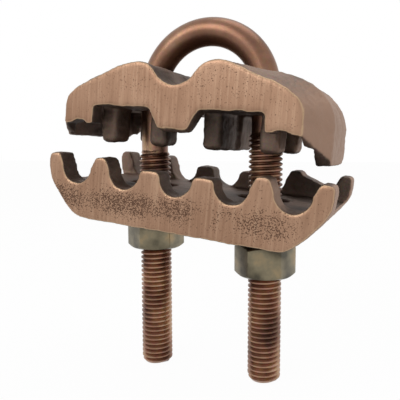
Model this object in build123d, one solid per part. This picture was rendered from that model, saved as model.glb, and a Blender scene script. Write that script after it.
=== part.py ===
from build123d import *
from math import radians, tan
import os

# Earth rod clamp: a threaded U-bolt, two cast bronze jaws that hang on its legs, and two
# hexagon nuts that draw the jaws together. The rod lies along Y in the bend of the U-bolt,
# and conductors lie along Y between the jaws. Origin: the centre of the bend. Millimetres.

# U-bolt
leg_pitch = 36.8          # centre to centre of the two legs
leg_length = 87.4         # bend centre to the leg ends
shank_d = 8.4             # plain rod of the bend
thread_d = 10.0           # major diameter of the threaded legs
left_thread_length = 70.5
right_thread_length = 76.0
thread_runout = 1.2       # cone from the thread down to the plain rod
leg_end_chamfer = 1.5

# Nuts
nut_across_flats = 16.0
nut_height = 9.5
nut_bore_clearance = 0.1  # on the diameter, over the thread
nut_face_inset = 0.4      # flat face inside the flats
nut_corner_chamfer = 0.9  # height of the chamfer at the corners
left_nut_turn = 25.0      # where each nut stopped, in degrees
right_nut_turn = 14.0
left_nut_gap = 0.15       # from the nut up to the lowest part of the jaw over it
right_nut_gap = 2.6       # this nut has been backed off

# Both jaws
jaw_half_depth = 23.8     # front and rear faces, along Y
slot_width = 11.0         # leg holes, across Y

# Upper jaw, in its own straight frame: z = 0 is just above the roof of its underside
upper_tilt = 4.3          # both jaws hang with their +X end low
upper_shift = -0.5
upper_height = -5.9       # that frame's z = 0, from the bend centre
upper_slot_length = 15.6
upper_slot_inset = 0.5    # the bend curves inward over the holes
end_half_depth = 13.0     # half width of the end faces, along Y
upper_wall = 5.5          # the front and rear walls
hump_x = 9.8
hump_top = 12.4
left_crest_drop = 0.6     # the casting is a little lower on this side
saddle_bottom = 6.0       # groove between the humps, which the rod lies in
front_end_x = 34.2        # end of the front face
full_end_x = 40.6         # end face at mid depth
lip_bottom = -12.7        # foot of the end lips
left_lip_rise = 3.4       # the left lip is shorter
lip_thickness = 4.2
left_lip_trim = 16.8      # width of the cut that shortens it, centred on the end face
lip_slope_half_depth = 11.0  # the lips slope up from here to the faces
roof_z = -0.3
outer_tooth_bottom = -5.4
outer_tooth_x = 25.0
outer_tooth_hollow = 0.9  # shallow hollow in the foot of each outer tooth
mid_tooth_bottom = -6.4
mid_tooth_half_top = 7.4
mid_tooth_half_foot = 4.0
mid_tooth_round = 2.2
ridge_bottom = -10.6      # ribs that grip the conductors
ridge_width = 5.6
ridge_round = 1.6
inner_ridge_x = 8.2
outer_ridge_x = 24.6
ridge_end = 16.0          # front and back ends of the ribs, along Y
ridge_gap = 7.0           # most of them stop this far from the leg centres
ridge_runs = [            # x, front end, back end
    (-outer_ridge_x, -ridge_end, -ridge_gap), (-outer_ridge_x, ridge_gap, ridge_end),
    (-inner_ridge_x, -ridge_end, -ridge_gap), (inner_ridge_x, -ridge_end, ridge_end),
    (outer_ridge_x, -ridge_end, -ridge_gap), (outer_ridge_x, ridge_gap, ridge_end)]

# Lower jaw, in its own straight frame: z = 0 is its flat underside
lower_tilt = 5.8
lower_shift = -1.5
lower_height = -39.7      # that frame's z = 0, from the bend centre
lower_slot_length = 15.6
tooth_count = 6
tooth_pitch = 15.9
tooth_top = 18.3
mid_tooth_drop = 2.1      # the middle two teeth stand lower
valley_bottom = 10.2      # also the level of the plate between the two rows of teeth
valley_radius = 4.7
valley_mouth_half = 6.3    # half width of each valley at the tips
tip_round = 1.4
lower_wall = 7.0          # thickness of the teeth, along Y
end_overhang = 1.9        # past the centre of the outermost tooth
bow_length = 13.6         # each end curves up over this length
bow_rise = 15.3
gusset_x = 24.5           # a web in the rear wall slopes down from the fifth tooth
gusset_length = 13.0
gusset_end_top = 13.0

leg_x = leg_pitch / 2
overcut = 1.0             # cuts and joined webs run this far past a face
standing = (Align.CENTER, Align.CENTER, Align.MIN)


def leg(side, thread_length):
    """One leg: threaded rod, run-out cone and plain shank up to the bend."""
    thread_end = thread_length - leg_length
    rod = Cylinder(thread_d / 2, thread_length, align=standing)
    rod = chamfer(rod.edges().sort_by(Axis.Z)[0], leg_end_chamfer)
    cone = Cone(thread_d / 2, shank_d / 2, thread_runout, align=standing)
    shank = Cylinder(shank_d / 2, -thread_end - thread_runout, align=standing)
    run = Pos(0, 0, -leg_length) * rod + Pos(0, 0, thread_end) * cone
    return Pos(side * leg_x, 0, 0) * (run + Pos(0, 0, thread_end + thread_runout) * shank)


def u_bolt():
    section = Pos(leg_x, 0, 0) * Circle(shank_d / 2)
    bend = revolve(section, Axis.Y, -180)
    return bend + leg(-1, left_thread_length) + leg(1, right_thread_length)


def nut():
    """Hexagon nut, top face at z = 0, with both faces chamfered to a cone and a plain bore."""
    corner_radius = nut_across_flats / 3 ** 0.5
    face_radius = nut_across_flats / 2 - nut_face_inset
    rim = corner_radius + overcut
    drop = nut_corner_chamfer / (corner_radius - face_radius) * (rim - face_radius)
    half = Polyline((0, 0), (face_radius, 0), (rim, -drop), (rim, drop - nut_height),
                    (face_radius, -nut_height), (0, -nut_height), close=True)
    turned = revolve(Plane.XZ * make_face(half), Axis.Z)
    hexagon = extrude(RegularPolygon(corner_radius, 6), -nut_height)
    bore = Cylinder((thread_d + nut_bore_clearance) / 2, 3 * nut_height)
    return (hexagon & turned) - bore


def nut_under_jaw(side, turn, gap):
    """A nut on its leg, the given gap below the lowest part of the jaw over it."""
    reach = side * leg_x - lower_shift + nut_across_flats / 2
    top = lower_height - reach * tan(radians(lower_tilt)) - gap
    return Pos(side * leg_x, 0, top) * Rot(0, 0, turn) * nut()


def leg_slots(half_pitch, length, low, high):
    """Oblong leg holes that let a jaw tilt on its legs."""
    hole = extrude(SlotOverall(length, slot_width), high - low)
    return [Pos(side * half_pitch, 0, low) * hole for side in (-1, 1)]


def upper_section(shoulder):
    """Section of the upper jaw: crest curve over humps and saddle, square below."""
    end_x, end_z = shoulder[-1]
    rise = hump_top - saddle_bottom
    right = [(hump_x * 0.5, saddle_bottom + rise * 0.38),
             (hump_x * 0.75, hump_top - rise * 0.14), (hump_x, hump_top), *shoulder]
    dropped = [(x, z - left_crest_drop) for x, z in right[:-2]] + right[-2:]
    left = [(-x, z) for x, z in reversed(dropped)]
    crest = Spline(*left, (0, saddle_bottom), *right)
    base = Polyline((end_x, end_z), (end_x, lip_bottom), (-end_x, lip_bottom), (-end_x, end_z))
    return Plane.XZ * make_face(crest + base)


def upper_blank():
    """Outer form of the upper jaw: full section amidships, drawn in to both faces."""
    slope = front_end_x - hump_x
    face = upper_section([
        (hump_x + slope * 0.3, hump_top - 1.3), (hump_x + slope * 0.6, hump_top - 4.4),
        (front_end_x - 3.6, hump_top - 7.2), (front_end_x - 0.9, hump_top - 9.8),
        (front_end_x, hump_top - 13.4)])
    slope = full_end_x - hump_x
    middle = upper_section([
        (hump_x + slope * 0.25, hump_top - 0.5), (hump_x + slope * 0.5, hump_top - 1.6),
        (full_end_x - 7.6, hump_top - 4.0), (full_end_x - 3, hump_top - 7.6),
        (full_end_x, hump_top - 17.0)])
    blank = extrude(middle, end_half_depth, both=True)
    for side in (-1, 1):
        inner = Pos(0, side * end_half_depth, 0) * middle
        outer = Pos(0, side * jaw_half_depth, 0) * face
        blank += loft([inner, outer], ruled=True)
    return blank


def ridge(x, front, back):
    """One rib under the roof, from its front end to its back end, rounded at the foot."""
    rib = Pos(x, (front + back) / 2, ridge_bottom) * Box(
        ridge_width, back - front, roof_z - ridge_bottom, align=standing)
    roof_edges = rib.edges().group_by(Axis.Z)[-1]
    return fillet(rib.edges() - roof_edges, ridge_round)


def upper_mouth():
    """The pocket under the roof, between the lips, walls and ridges."""
    floor = lip_bottom - overcut
    mouth = Pos(0, 0, floor) * Box(
        2 * (full_end_x - lip_thickness), 2 * (jaw_half_depth - upper_wall), roof_z - floor,
        align=standing)
    return mouth - [ridge(*run) for run in ridge_runs]


def wall_opening():
    """Front view of the space under one wall, around its three blunt teeth."""
    below = lip_bottom - overcut
    space = Pos(0, roof_z) * Rectangle(
        2 * front_end_x, roof_z - below, align=(Align.CENTER, Align.MAX))
    tooth = make_face(Polyline(
        (-mid_tooth_half_top, roof_z), (-mid_tooth_half_foot, mid_tooth_bottom),
        (mid_tooth_half_foot, mid_tooth_bottom), (mid_tooth_half_top, roof_z), close=True))
    space -= fillet(tooth.vertices().group_by(Axis.Y)[0], mid_tooth_round)
    width = front_end_x - outer_tooth_x
    for side in (-1, 1):
        centre = side * (outer_tooth_x + width / 2)
        block = Pos(centre, roof_z) * Rectangle(
            width, roof_z - outer_tooth_bottom, align=(Align.CENTER, Align.MAX))
        hollow = Pos(centre, outer_tooth_bottom) * Ellipse(width / 4, outer_tooth_hollow)
        space -= block - hollow
    return space


def upper_jaw():
    """Cast jaw that the bend of the U-bolt holds: saddle above, teeth and ridges below."""
    jaw = upper_blank() - upper_mouth()
    opening = Plane.XZ * wall_opening()
    face_z = outer_tooth_bottom
    slope = make_face(Polyline(
        (lip_slope_half_depth, lip_bottom), (jaw_half_depth, face_z),
        (jaw_half_depth + overcut, face_z), (jaw_half_depth + overcut, lip_bottom - overcut),
        (lip_slope_half_depth, lip_bottom - overcut), close=True))
    relief = extrude(Plane.YZ * slope, full_end_x, both=True)
    for side in (-1, 1):
        middle_y = side * (jaw_half_depth - upper_wall / 2)
        jaw -= Pos(0, middle_y, 0) * extrude(opening, upper_wall / 2 + 0.01, both=True)
    jaw -= relief
    jaw -= mirror(relief, Plane.XZ)
    jaw -= Pos(-full_end_x, 0, lip_bottom - overcut) * Box(
        left_lip_trim, 2 * jaw_half_depth, left_lip_rise + overcut, align=standing)
    jaw -= leg_slots(leg_x - upper_slot_inset, upper_slot_length, lip_bottom, hump_top + overcut)
    return Pos(upper_shift, 0, upper_height) * Rot(0, upper_tilt, 0) * jaw


def comb_profile():
    """Front view of the lower jaw: flat belly, bowed ends, six teeth and five valleys."""
    tooth_x = [(i - (tooth_count - 1) / 2) * tooth_pitch for i in range(tooth_count)]
    end_x = tooth_x[-1] + end_overhang
    belly_x = end_x - bow_length
    right_bow = Spline(
        (belly_x, 0), (end_x - bow_length * 0.55, bow_rise * 0.16),
        (end_x - bow_length * 0.18, bow_rise * 0.54), (end_x, bow_rise),
        tangents=[(1, 0), (0, 1)])
    left_bow = mirror(right_bow, Plane.YZ)
    hull = make_face(
        Line((-belly_x, 0), (belly_x, 0)) + right_bow + left_bow
        + Polyline((end_x, bow_rise), (end_x, tooth_top), (-end_x, tooth_top), (-end_x, bow_rise)))
    centre_z = valley_bottom + valley_radius
    for left, right in zip(tooth_x, tooth_x[1:]):
        middle = (left + right) / 2
        hull -= Pos(middle, centre_z) * Circle(valley_radius)
        hull -= make_face(Polyline(
            (middle - valley_radius, centre_z), (middle + valley_radius, centre_z),
            (middle + valley_mouth_half, tooth_top), (middle - valley_mouth_half, tooth_top),
            close=True))
    mid_top = tooth_top - mid_tooth_drop
    hull -= Pos(0, mid_top) * Rectangle(
        2 * tooth_pitch, 2 * mid_tooth_drop, align=(Align.CENTER, Align.MIN))
    tips = [v for v in hull.vertices() if v.Y > mid_top - 0.01]
    return fillet(tips, tip_round)


def lower_jaw():
    """Cast jaw that the nuts push up: a thick plate with teeth along its front and rear."""
    profile = comb_profile()
    end_x = profile.bounding_box().max.X
    jaw = extrude(Plane.XZ * profile, jaw_half_depth, both=True)
    jaw -= Pos(0, 0, valley_bottom) * Box(
        2 * (end_x + overcut), 2 * (jaw_half_depth - lower_wall), tooth_top, align=standing)
    gusset = make_face(Polyline(
        (gusset_x, valley_bottom - overcut), (gusset_x, tooth_top - tip_round / 2),
        (gusset_x + gusset_length, gusset_end_top),
        (gusset_x + gusset_length, valley_bottom - overcut), close=True))
    jaw += Pos(0, jaw_half_depth - lower_wall / 2, 0) * extrude(
        Plane.XZ * gusset, lower_wall / 2, both=True)
    jaw -= leg_slots(leg_x, lower_slot_length, -overcut, tooth_top)
    return Pos(lower_shift, 0, lower_height) * Rot(0, lower_tilt, 0) * jaw


pieces = {
    "u_bolt": u_bolt(),
    "upper_jaw": upper_jaw(),
    "lower_jaw": lower_jaw(),
    "left_nut": nut_under_jaw(-1, left_nut_turn, left_nut_gap),
    "right_nut": nut_under_jaw(1, right_nut_turn, right_nut_gap),
}

os.makedirs("parts", exist_ok=True)
for name, shape in pieces.items():
    export_step(shape, f"parts/{name}.step")
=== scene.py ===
from math import pi, radians
import bpy
from mathutils import Matrix, Vector


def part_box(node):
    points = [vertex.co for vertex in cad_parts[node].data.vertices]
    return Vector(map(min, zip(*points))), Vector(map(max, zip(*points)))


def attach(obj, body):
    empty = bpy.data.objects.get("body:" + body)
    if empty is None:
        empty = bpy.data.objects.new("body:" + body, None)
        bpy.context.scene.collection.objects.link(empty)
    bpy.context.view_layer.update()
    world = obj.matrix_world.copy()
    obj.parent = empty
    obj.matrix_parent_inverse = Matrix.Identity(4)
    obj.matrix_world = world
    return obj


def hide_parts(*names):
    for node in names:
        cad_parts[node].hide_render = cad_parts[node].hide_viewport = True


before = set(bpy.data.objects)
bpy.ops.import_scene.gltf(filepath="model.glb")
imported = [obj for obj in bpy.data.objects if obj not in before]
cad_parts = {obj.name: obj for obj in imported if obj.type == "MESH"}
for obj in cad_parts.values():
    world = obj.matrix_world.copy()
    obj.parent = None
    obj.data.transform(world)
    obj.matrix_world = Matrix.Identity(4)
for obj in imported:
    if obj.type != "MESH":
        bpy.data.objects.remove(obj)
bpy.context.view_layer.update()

# ---------------------------------------------------------------------------------------
# U-bolt: round bar bent hot to a half circle over a former, with rolled threads on both
# legs. The bar is a copper alloy, browned by handling and brighter on the thread crests.
leg_x = 0.0184
leg_foot_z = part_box("u_bolt")[0][2]
shank_radius = 0.0042
thread_radius = 0.0050
thread_root_radius = 0.00415
thread_pitch = 0.0015
thread_tops = {-1: leg_foot_z + 0.0705, 1: leg_foot_z + 0.0760}
thread_fade = 0.0022          # the last turns run out over this length
thread_crest = 0.14 * thread_pitch   # half the width of the flat crest
foot_chamfer = 0.0014
foot_inset = 0.0003           # the foot's cone starts this far inside the thread's root
shank_inset = 0.0001          # the run-out ends this far inside the plain bar


def deselect_all():
    bpy.ops.object.select_all(action="DESELECT")


def make_active(piece):
    deselect_all()
    piece.select_set(True)
    bpy.context.view_layer.objects.active = piece


def apply_modifier(piece, kind, **settings):
    """Adds one modifier with its settings and applies it to the piece's mesh."""
    make_active(piece)
    modifier = piece.modifiers.new(kind.title(), kind)
    for name, value in settings.items():
        setattr(modifier, name, value)
    bpy.ops.object.modifier_apply(modifier=modifier.name)


def settle(piece):
    """Leaves the piece's object at the origin, with its place in its mesh, facing outward."""
    make_active(piece)
    bpy.ops.object.transform_apply(location=True, rotation=True, scale=True)
    bpy.ops.object.mode_set(mode="EDIT")
    bpy.ops.mesh.select_all(action="SELECT")
    bpy.ops.mesh.remove_doubles(threshold=1e-6)
    bpy.ops.mesh.normals_make_consistent(inside=False)
    bpy.ops.object.mode_set(mode="OBJECT")


def bent_bar():
    """The plain bar: a circle spun over the bend, then drawn down both legs."""
    bpy.ops.mesh.primitive_circle_add(vertices=40, radius=shank_radius, location=(leg_x, 0, 0))
    bar = bpy.context.object
    bpy.ops.object.transform_apply(location=True)
    bpy.ops.object.mode_set(mode="EDIT")
    bpy.ops.mesh.select_all(action="SELECT")
    bpy.ops.mesh.spin(steps=72, angle=pi, center=(0, 0, 0), axis=(0, 1, 0))
    bpy.ops.mesh.select_all(action="DESELECT")
    bpy.ops.mesh.select_mode(type="EDGE")
    bpy.ops.mesh.select_non_manifold()
    bpy.ops.mesh.extrude_region_move(TRANSFORM_OT_translate={"value": (0, 0, leg_foot_z * 0.5)})
    bpy.ops.mesh.edge_face_add()
    bpy.ops.object.mode_set(mode="OBJECT")
    return bar


def threaded_leg(side):
    """One helical thread by the screw modifier, then its foot and its run-out are shaped."""
    turns = int((thread_tops[side] - leg_foot_z) / thread_pitch) + 1
    bpy.ops.mesh.primitive_plane_add(size=0.001)
    leg = bpy.context.object
    mesh = leg.data
    mesh.clear_geometry()
    half_pitch = thread_pitch / 2
    profile = [(thread_root_radius, 0), (thread_radius, half_pitch - thread_crest),
               (thread_radius, half_pitch + thread_crest), (thread_root_radius, thread_pitch)]
    points = [(r, 0, leg_foot_z - half_pitch + z) for r, z in profile]
    mesh.from_pydata(points, [(0, 1), (1, 2), (2, 3)], [])
    apply_modifier(leg, "SCREW", angle=2 * pi, screw_offset=thread_pitch, iterations=turns,
                   steps=48, render_steps=48, use_merge_vertices=True, merge_threshold=1e-6)
    top = thread_tops[side]
    for vertex in leg.data.vertices:
        x, y, z = vertex.co
        radius = (x * x + y * y) ** 0.5
        foot_limit = thread_root_radius - foot_inset + max(z - leg_foot_z, 0) * (
            (thread_radius - thread_root_radius + foot_inset) / foot_chamfer)
        fade = min(max((top - z) / thread_fade, 0), 1)
        top_limit = shank_radius - shank_inset + (
            thread_radius - shank_radius + shank_inset) * fade
        new_radius = min(radius, foot_limit, top_limit)
        vertex.co = (x * new_radius / radius, y * new_radius / radius, max(z, leg_foot_z))
    make_active(leg)
    bpy.ops.object.mode_set(mode="EDIT")
    bpy.ops.mesh.select_mode(type="EDGE")
    bpy.ops.mesh.select_all(action="DESELECT")
    bpy.ops.mesh.select_non_manifold()
    bpy.ops.mesh.edge_face_add()
    bpy.ops.object.mode_set(mode="OBJECT")
    leg.location = (side * leg_x, 0, 0)
    settle(leg)
    return leg


def linear(code):
    """An sRGB hex colour as the linear RGBA that shaders take."""
    parts = [int(code[i:i + 2], 16) / 255 for i in (1, 3, 5)]
    return tuple(c / 12.92 if c <= 0.04045 else ((c + 0.055) / 1.055) ** 2.4 for c in parts) + (1,)


def add_node(tree, kind, inputs=None, ramp=None, **settings):
    """Adds one shader node. An input takes a plain value or another node's output."""
    node = tree.nodes.new(kind)
    for name, value in settings.items():
        setattr(node, name, value)
    if ramp:
        elements = node.color_ramp.elements
        while len(elements) < len(ramp):
            elements.new(0.5)
        for element, (position, colour) in zip(elements, ramp):
            element.position = position
            element.color = linear(colour) if isinstance(colour, str) else (colour,) * 3 + (1,)
    for name, value in (inputs or {}).items():
        if isinstance(value, bpy.types.NodeSocket):
            tree.links.new(value, node.inputs[name])
        else:
            node.inputs[name].default_value = value
    return node


def new_material(name):
    """An empty material with one Principled shader already wired to its output."""
    material = bpy.data.materials.new(name)
    material.use_nodes = True
    tree = material.node_tree
    tree.nodes.clear()
    shader = add_node(tree, "ShaderNodeBsdfPrincipled")
    add_node(tree, "ShaderNodeOutputMaterial", {"Surface": shader.outputs["BSDF"]})
    return material, tree, shader


def browned_and_shaded_copper_rod():
    """Rolled copper alloy rod, hot bent: satin metal with brown tarnish in soft patches, and
    painted shade darkening the bend.
    """
    material, tree, shader = new_material("browned_and_shaded_copper_rod")
    coords = add_node(tree, "ShaderNodeTexCoord").outputs["Object"]
    patches = add_node(tree, "ShaderNodeTexNoise", {"Vector": coords, "Scale": 90.0, "Detail": 5.0})
    tarnish = add_node(tree, "ShaderNodeValToRGB", {"Fac": patches.outputs["Fac"]},
                       ramp=[(0.32, "#6C5145"), (0.50, "#96725E"), (0.68, "#B8967A")])
    grain = add_node(tree, "ShaderNodeTexNoise", {"Vector": coords, "Scale": 900.0, "Detail": 3.0})
    speckle = add_node(tree, "ShaderNodeMix", {
        "Factor": 0.35, "A": tarnish.outputs["Color"], "B": grain.outputs["Color"]},
        data_type="RGBA", blend_type="SOFT_LIGHT")

    # Painted shade: the bar's colour darkens towards the top, so the bend is darker than the legs.
    height = add_node(tree, "ShaderNodeSeparateXYZ", {"Vector": coords})
    height_shade = add_node(tree, "ShaderNodeMapRange", {
        "Value": height.outputs["Z"], "From Min": -0.012, "From Max": 0.004, "To Max": 0.6})
    bar_colour = add_node(tree, "ShaderNodeMix", {
        "Factor": height_shade.outputs["Result"], "A": speckle.outputs["Result"],
        "B": linear("#6A4A39")}, data_type="RGBA")
    roughness = add_node(tree, "ShaderNodeMapRange", {
        "Value": patches.outputs["Fac"], "To Min": 0.46, "To Max": 0.26})
    bump = add_node(tree, "ShaderNodeBump", {
        "Height": grain.outputs["Fac"], "Strength": 0.25, "Distance": 0.00008})
    shader.inputs["Metallic"].default_value = 0.95
    tree.links.new(bar_colour.outputs["Result"], shader.inputs["Base Color"])
    tree.links.new(roughness.outputs["Result"], shader.inputs["Roughness"])
    tree.links.new(bump.outputs["Normal"], shader.inputs["Normal"])
    return material


deselect_all()
u_bolt = bent_bar()
legs = [threaded_leg(-1), threaded_leg(1)]
settle(u_bolt)
make_active(u_bolt)
for leg in legs:
    leg.select_set(True)
bpy.ops.object.join()
bpy.ops.object.shade_smooth_by_angle(angle=radians(35))
u_bolt.name = "u_bolt_bar"
u_bolt.data.materials.clear()
u_bolt.data.materials.append(browned_and_shaded_copper_rod())
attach(u_bolt, "u_bolt")
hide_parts("u_bolt")

# ---------------------------------------------------------------------------------------
# Jaws: sand castings in bronze. The front and rear faces are ground flat on a belt, which
# leaves fine upright lines and opens casting pores; every other face is as cast.
jaw_grain = 0.00048           # mesh size of a casting
ground_depth = 0.0012         # the ground finish fades out over this depth behind a face
ground_from = 0.6             # how squarely a surface faces front or rear to be ground
ground_blend = 0.35
sand_removed = 0.93           # share of the sand texture that grinding takes off
coarse_sand = 0.0060          # widths of the swells and grains left by the mould
fine_sand = 0.0014
fine_share = 0.45             # height of the fine grain against the coarse
upper_jaw_tilt = 4.3          # both jaws hang with their +X end low, in degrees
lower_jaw_tilt = 5.8
ground_face_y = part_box("upper_jaw")[1][1]


def casting(node_name, smoothing, sand_height):
    """A cast copy of a CAD jaw: evenly meshed, edges rounded, rough except on ground faces."""
    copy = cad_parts[node_name].copy()
    copy.data = copy.data.copy()
    bpy.context.collection.objects.link(copy)
    copy.name = node_name + "_casting"
    settle(copy)
    apply_modifier(copy, "REMESH", mode="VOXEL", voxel_size=jaw_grain)
    apply_modifier(copy, "SMOOTH", factor=0.5, iterations=smoothing)
    group = copy.vertex_groups.new(name="as_cast")
    for vertex in copy.data.vertices:
        facing = abs(vertex.normal.y)
        depth = (ground_face_y - abs(vertex.co.y)) / ground_depth
        ground = min(max((facing - ground_from) / ground_blend, 0), 1) * (
            1 - min(max(depth, 0), 1))
        group.add([vertex.index], 1 - sand_removed * ground, "REPLACE")
    for size, height in ((coarse_sand, sand_height), (fine_sand, sand_height * fine_share)):
        texture = bpy.data.textures.new(f"sand_{size * 1000:.1f}_mm", "CLOUDS")
        texture.noise_scale = size
        texture.noise_depth = 2
        apply_modifier(copy, "DISPLACE", texture=texture, strength=height, mid_level=0.5,
                       vertex_group="as_cast", texture_coords="LOCAL")
    make_active(copy)
    bpy.ops.object.shade_smooth()
    return copy


def cast_bronze(name, tilt, band_z, band_half, band_x, pore_amount):
    """Sand-cast bronze: tan belt-ground faces with open pores, dark rough skin elsewhere.

    The pores lie in a band at height band_z along the tilted jaw, band_half to either side
    of it, and end near band_x. pore_amount says how densely they stand.
    """
    material, tree, shader = new_material(name)
    coords = add_node(tree, "ShaderNodeTexCoord")
    straight = add_node(tree, "ShaderNodeMapping", {
        "Vector": coords.outputs["Object"], "Rotation": (0, -radians(tilt), 0)})
    place = add_node(tree, "ShaderNodeSeparateXYZ", {"Vector": straight.outputs["Vector"]})
    normal = add_node(tree, "ShaderNodeSeparateXYZ", {"Vector": coords.outputs["Normal"]})
    facing = add_node(tree, "ShaderNodeMath", {0: normal.outputs["Y"]}, operation="ABSOLUTE")
    depth = add_node(tree, "ShaderNodeMath", {0: place.outputs["Y"]}, operation="ABSOLUTE")
    near_face = add_node(tree, "ShaderNodeMapRange", {
        "Value": depth.outputs[0], "From Min": ground_face_y - 0.0016,
        "From Max": ground_face_y - 0.0007})
    flat = add_node(tree, "ShaderNodeMapRange", {
        "Value": facing.outputs[0], "From Min": 0.55, "From Max": 0.80})
    ground = add_node(tree, "ShaderNodeMath", {
        0: near_face.outputs["Result"], 1: flat.outputs["Result"]}, operation="MULTIPLY")
    rim = add_node(tree, "ShaderNodeMapRange", {
        "Value": facing.outputs[0], "From Min": 0.95, "From Max": 0.78, "To Max": 0.7})

    # Belt-grinding lines run upright, about 0.7 mm apart, and are drawn as coarse as they show.
    lines_at = add_node(tree, "ShaderNodeMapping", {
        "Vector": straight.outputs["Vector"], "Scale": (1300, 200, 55)})
    lines = add_node(tree, "ShaderNodeTexNoise", {
        "Vector": lines_at.outputs["Vector"], "Scale": 1.0, "Detail": 3.0, "Roughness": 0.6})
    clouds = add_node(tree, "ShaderNodeTexNoise", {
        "Vector": coords.outputs["Object"], "Scale": 55.0, "Detail": 3.0})
    ground_colour = add_node(tree, "ShaderNodeValToRGB", {"Fac": lines.outputs["Fac"]},
                             ramp=[(0.30, "#8F6E57"), (0.52, "#A38067"), (0.74, "#BC9B80")])
    warm = add_node(tree, "ShaderNodeValToRGB", {"Fac": clouds.outputs["Fac"]},
                    ramp=[(0.35, "#8C6A54"), (0.65, "#AC8A72")])
    ground_mix = add_node(tree, "ShaderNodeMix", {
        "Factor": 0.45, "A": ground_colour.outputs["Color"], "B": warm.outputs["Color"]},
        data_type="RGBA")
    edge_mix = add_node(tree, "ShaderNodeMix", {
        "Factor": rim.outputs["Result"], "A": ground_mix.outputs["Result"],
        "B": linear("#C9AB88")}, data_type="RGBA")

    # Pores about 0.4 mm wide, opened by grinding where the metal froze last.
    pores = add_node(tree, "ShaderNodeTexNoise", {
        "Vector": coords.outputs["Object"], "Scale": 2700.0, "Detail": 2.0, "Roughness": 0.6})
    above = add_node(tree, "ShaderNodeMath", {
        0: place.outputs["Z"], 1: band_z}, operation="SUBTRACT")
    off_line = add_node(tree, "ShaderNodeMath", {0: above.outputs[0]}, operation="ABSOLUTE")
    in_band = add_node(tree, "ShaderNodeMapRange", {
        "Value": off_line.outputs[0], "From Min": band_half, "From Max": band_half * 0.3})
    in_reach = add_node(tree, "ShaderNodeMapRange", {
        "Value": place.outputs["X"], "From Min": band_x + 0.006, "From Max": band_x - 0.002})
    patch = add_node(tree, "ShaderNodeMapRange", {
        "Value": clouds.outputs["Fac"], "From Min": 0.34, "From Max": 0.52})
    zone = add_node(tree, "ShaderNodeMath", {
        0: in_band.outputs["Result"], 1: in_reach.outputs["Result"]}, operation="MULTIPLY")
    zone = add_node(tree, "ShaderNodeMath", {
        0: zone.outputs[0], 1: patch.outputs["Result"]}, operation="MULTIPLY")
    level = add_node(tree, "ShaderNodeMath", {
        0: zone.outputs[0], 1: pore_amount, 2: pores.outputs["Fac"]}, operation="MULTIPLY_ADD")
    pit = add_node(tree, "ShaderNodeMapRange", {
        "Value": level.outputs[0], "From Min": 0.67, "From Max": 0.71})
    pit_on_face = add_node(tree, "ShaderNodeMath", {
        0: pit.outputs["Result"], 1: ground.outputs[0]}, operation="MULTIPLY")
    face_mix = add_node(tree, "ShaderNodeMix", {
        "Factor": pit_on_face.outputs[0], "A": edge_mix.outputs["Result"],
        "B": linear("#624737")}, data_type="RGBA")

    # The skin keeps the texture of the sand mould, with grains of about 0.5 mm.
    sand = add_node(tree, "ShaderNodeTexNoise", {
        "Vector": coords.outputs["Object"], "Scale": 1700.0, "Detail": 4.0, "Roughness": 0.65})
    skin = add_node(tree, "ShaderNodeValToRGB", {"Fac": clouds.outputs["Fac"]},
                    ramp=[(0.35, "#51443C"), (0.65, "#836C5E")])
    skin_mix = add_node(tree, "ShaderNodeMix", {
        "Factor": 0.5, "A": skin.outputs["Color"], "B": sand.outputs["Color"]},
        data_type="RGBA", blend_type="SOFT_LIGHT")

    # The outer ends are coloured lighter, more so the further out they face.
    outward = add_node(tree, "ShaderNodeMath", {
        0: place.outputs["X"], 1: normal.outputs["X"]}, operation="MULTIPLY")
    outer_end_tone = add_node(tree, "ShaderNodeMapRange", {
        "Value": outward.outputs[0], "From Min": 0.011, "From Max": 0.027, "To Max": 0.85})
    outer_end_tone_mix = add_node(tree, "ShaderNodeMix", {
        "Factor": outer_end_tone.outputs["Result"], "A": skin_mix.outputs["Result"],
        "B": linear("#A98A76")}, data_type="RGBA")
    colour = add_node(tree, "ShaderNodeMix", {
        "Factor": ground.outputs[0], "A": outer_end_tone_mix.outputs["Result"],
        "B": face_mix.outputs["Result"]}, data_type="RGBA")
    roughness = add_node(tree, "ShaderNodeMapRange", {
        "Value": ground.outputs[0], "To Min": 0.60, "To Max": 0.42})
    relief = add_node(tree, "ShaderNodeMix", {
        "Factor": ground.outputs[0], "A": sand.outputs["Color"], "B": lines.outputs["Color"]},
        data_type="RGBA")
    bump = add_node(tree, "ShaderNodeBump", {
        "Height": relief.outputs["Result"], "Strength": 0.5, "Distance": 0.00025})
    dents = add_node(tree, "ShaderNodeBump", {
        "Height": pit_on_face.outputs[0], "Strength": 0.8, "Distance": 0.0003,
        "Normal": bump.outputs["Normal"]}, invert=True)
    shader.inputs["Metallic"].default_value = 0.80
    tree.links.new(colour.outputs["Result"], shader.inputs["Base Color"])
    tree.links.new(roughness.outputs["Result"], shader.inputs["Roughness"])
    tree.links.new(dents.outputs["Normal"], shader.inputs["Normal"])
    return material


upper_jaw = casting("upper_jaw", smoothing=6, sand_height=0.0007)
upper_jaw.data.materials.clear()
upper_jaw.data.materials.append(cast_bronze(
    "cast_bronze_upper", upper_jaw_tilt, band_z=0.001, band_half=0.006, band_x=0.030,
    pore_amount=0.03))
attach(upper_jaw, "upper_jaw")
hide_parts("upper_jaw")

# Lower jaw: the same bronze, cast as a thick plate with a row of teeth front and rear. It
# slides on the legs and the nuts push it up. Its pores lie in a band along its front face.
lower_jaw = casting("lower_jaw", smoothing=5, sand_height=0.0005)
lower_jaw.data.materials.clear()
lower_jaw.data.materials.append(cast_bronze(
    "cast_bronze_lower", lower_jaw_tilt, band_z=-0.0335, band_half=0.0052, band_x=0.032,
    pore_amount=0.19))
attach(lower_jaw, "lower_jaw")
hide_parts("lower_jaw")

# ---------------------------------------------------------------------------------------
# Nuts: hexagon nuts turned and milled from bar, then plated. The plating is bright and
# slightly yellow, and has darkened to brown-green in places.


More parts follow.
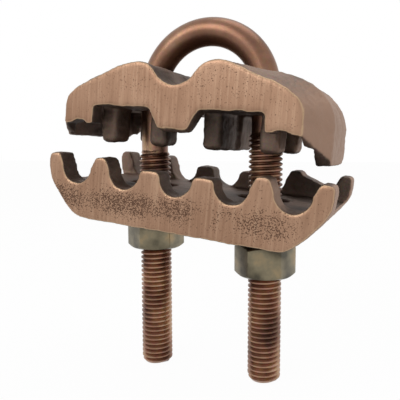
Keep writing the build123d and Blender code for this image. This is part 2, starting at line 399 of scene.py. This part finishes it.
def plated_nut_metal():
    """Yellow-passivated plating on a milled nut: satin, with a thin darkened film."""
    material, tree, shader = new_material("yellow_plated_nut")
    coords = add_node(tree, "ShaderNodeTexCoord").outputs["Object"]
    film = add_node(tree, "ShaderNodeTexNoise", {"Vector": coords, "Scale": 120.0, "Detail": 4.0})
    tint = add_node(tree, "ShaderNodeValToRGB", {"Fac": film.outputs["Fac"]},
                    ramp=[(0.35, "#4F4A3E"), (0.55, "#7E7560"), (0.70, "#A18A68")])
    milling_at = add_node(tree, "ShaderNodeMapping", {"Vector": coords, "Scale": (150, 150, 2400)})
    milling = add_node(tree, "ShaderNodeTexNoise", {
        "Vector": milling_at.outputs["Vector"], "Scale": 1.0, "Detail": 2.0})
    roughness = add_node(tree, "ShaderNodeMapRange", {
        "Value": film.outputs["Fac"], "To Min": 0.40, "To Max": 0.22})
    bump = add_node(tree, "ShaderNodeBump", {
        "Height": milling.outputs["Fac"], "Strength": 0.2, "Distance": 0.0001})
    shader.inputs["Metallic"].default_value = 0.95
    tree.links.new(tint.outputs["Color"], shader.inputs["Base Color"])
    tree.links.new(roughness.outputs["Result"], shader.inputs["Roughness"])
    tree.links.new(bump.outputs["Normal"], shader.inputs["Normal"])
    return material


nut_metal = plated_nut_metal()
for side_name in ("left", "right"):
    node_name = side_name + "_nut"
    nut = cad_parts[node_name].copy()
    nut.data = nut.data.copy()
    bpy.context.collection.objects.link(nut)
    nut.name = side_name + "_hexagon_nut"
    settle(nut)
    apply_modifier(nut, "DECIMATE", decimate_type="DISSOLVE", angle_limit=radians(2))
    apply_modifier(nut, "BEVEL", width=0.00025, segments=2, limit_method="ANGLE",
                   angle_limit=radians(25))
    make_active(nut)
    bpy.ops.object.shade_smooth_by_angle(angle=radians(40))
    nut.data.materials.clear()
    nut.data.materials.append(nut_metal)
    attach(nut, node_name)
    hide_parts(node_name)

# ---------------------------------------------------------------------------------------
# Stage: a pale board just under the leg ends and a white surround, which metal mirrors as
# the eye sees it. Two soft lamps, one in front and one above, and the camera.
floor_gap = 0.0004
floor_white = 0.97            # the rest of the floor's look is its own, and takes the shadow
room_light = 0.42             # what the surround adds to the light on the part


def white_to_the_eye(tree, strength):
    """Mixes plain white in for camera, glossy and transmission rays, and keeps shadows."""
    rays = add_node(tree, "ShaderNodeLightPath")
    seen = add_node(tree, "ShaderNodeMath", {
        0: rays.outputs["Is Camera Ray"], 1: rays.outputs["Is Glossy Ray"]}, operation="MAXIMUM")
    seen = add_node(tree, "ShaderNodeMath", {
        0: seen.outputs[0], 1: rays.outputs["Is Transmission Ray"]}, operation="MAXIMUM")
    share = add_node(tree, "ShaderNodeMath", {
        0: seen.outputs[0], 1: strength}, operation="MULTIPLY")
    return share.outputs[0]


bpy.ops.mesh.primitive_plane_add(size=6, location=(0, 0, leg_foot_z - floor_gap))
floor = bpy.context.object
floor.name = "floor"
floor_material, floor_tree, floor_shader = new_material("white_painted_board")
floor_shader.inputs["Base Color"].default_value = linear("#F2F2F2")
floor_shader.inputs["Roughness"].default_value = 0.9
glow = add_node(floor_tree, "ShaderNodeEmission", {"Color": (1, 1, 1, 1), "Strength": 1.0})
floor_mix = add_node(floor_tree, "ShaderNodeMixShader", {
    "Fac": white_to_the_eye(floor_tree, floor_white), 1: floor_shader.outputs["BSDF"],
    2: glow.outputs["Emission"]})
floor_output = [n for n in floor_tree.nodes if n.type == "OUTPUT_MATERIAL"][0]
floor_tree.links.new(floor_mix.outputs["Shader"], floor_output.inputs["Surface"])
floor.data.materials.append(floor_material)

world = bpy.data.worlds.new("studio")
bpy.context.scene.world = world
world.use_nodes = True
world.node_tree.nodes.clear()
room = add_node(world.node_tree, "ShaderNodeBackground", {
    "Color": (1, 1, 1, 1), "Strength": room_light})
white = add_node(world.node_tree, "ShaderNodeBackground", {
    "Color": (1, 1, 1, 1), "Strength": 1.0})
surround = add_node(world.node_tree, "ShaderNodeMixShader", {
    "Fac": white_to_the_eye(world.node_tree, 1.0), 1: room.outputs["Background"],
    2: white.outputs["Background"]})
add_node(world.node_tree, "ShaderNodeOutputWorld", {"Surface": surround.outputs["Shader"]})


def soft_lamp(name, place, target, size, watts):
    """A square soft lamp at a place, turned to face a target."""
    data = bpy.data.lights.new(name, "AREA")
    data.size = size
    data.energy = watts
    lamp_object = bpy.data.objects.new(name, data)
    bpy.context.collection.objects.link(lamp_object)
    lamp_object.location = place
    direction = Vector(target) - Vector(place)
    lamp_object.rotation_euler = direction.to_track_quat("-Z", "Y").to_euler()


clamp_middle = (0, 0, -0.02)
soft_lamp("key", (-0.20, -0.50, 0.35), clamp_middle, size=0.35, watts=1.5)
soft_lamp("top", (0.10, 0.10, 0.55), clamp_middle, size=0.40, watts=0.9)

camera_place = (0.05614, -0.14093, -0.01744)
camera_turn = 22.66           # degrees
camera_rise = 5.72
camera_roll = -0.22
camera_data = bpy.data.cameras.new("camera")
camera_data.sensor_width = 36
camera_data.lens = 43.87
camera_data.clip_start = 0.01
camera = bpy.data.objects.new("camera", camera_data)
bpy.context.collection.objects.link(camera)
turned = (Matrix.Rotation(radians(camera_turn), 4, "Z")
          @ Matrix.Rotation(radians(90 - camera_rise), 4, "X")
          @ Matrix.Rotation(radians(camera_roll), 4, "Z"))
camera.matrix_world = Matrix.Translation(camera_place) @ turned
bpy.context.scene.camera = camera
bpy.context.scene.view_settings.view_transform = "Standard"
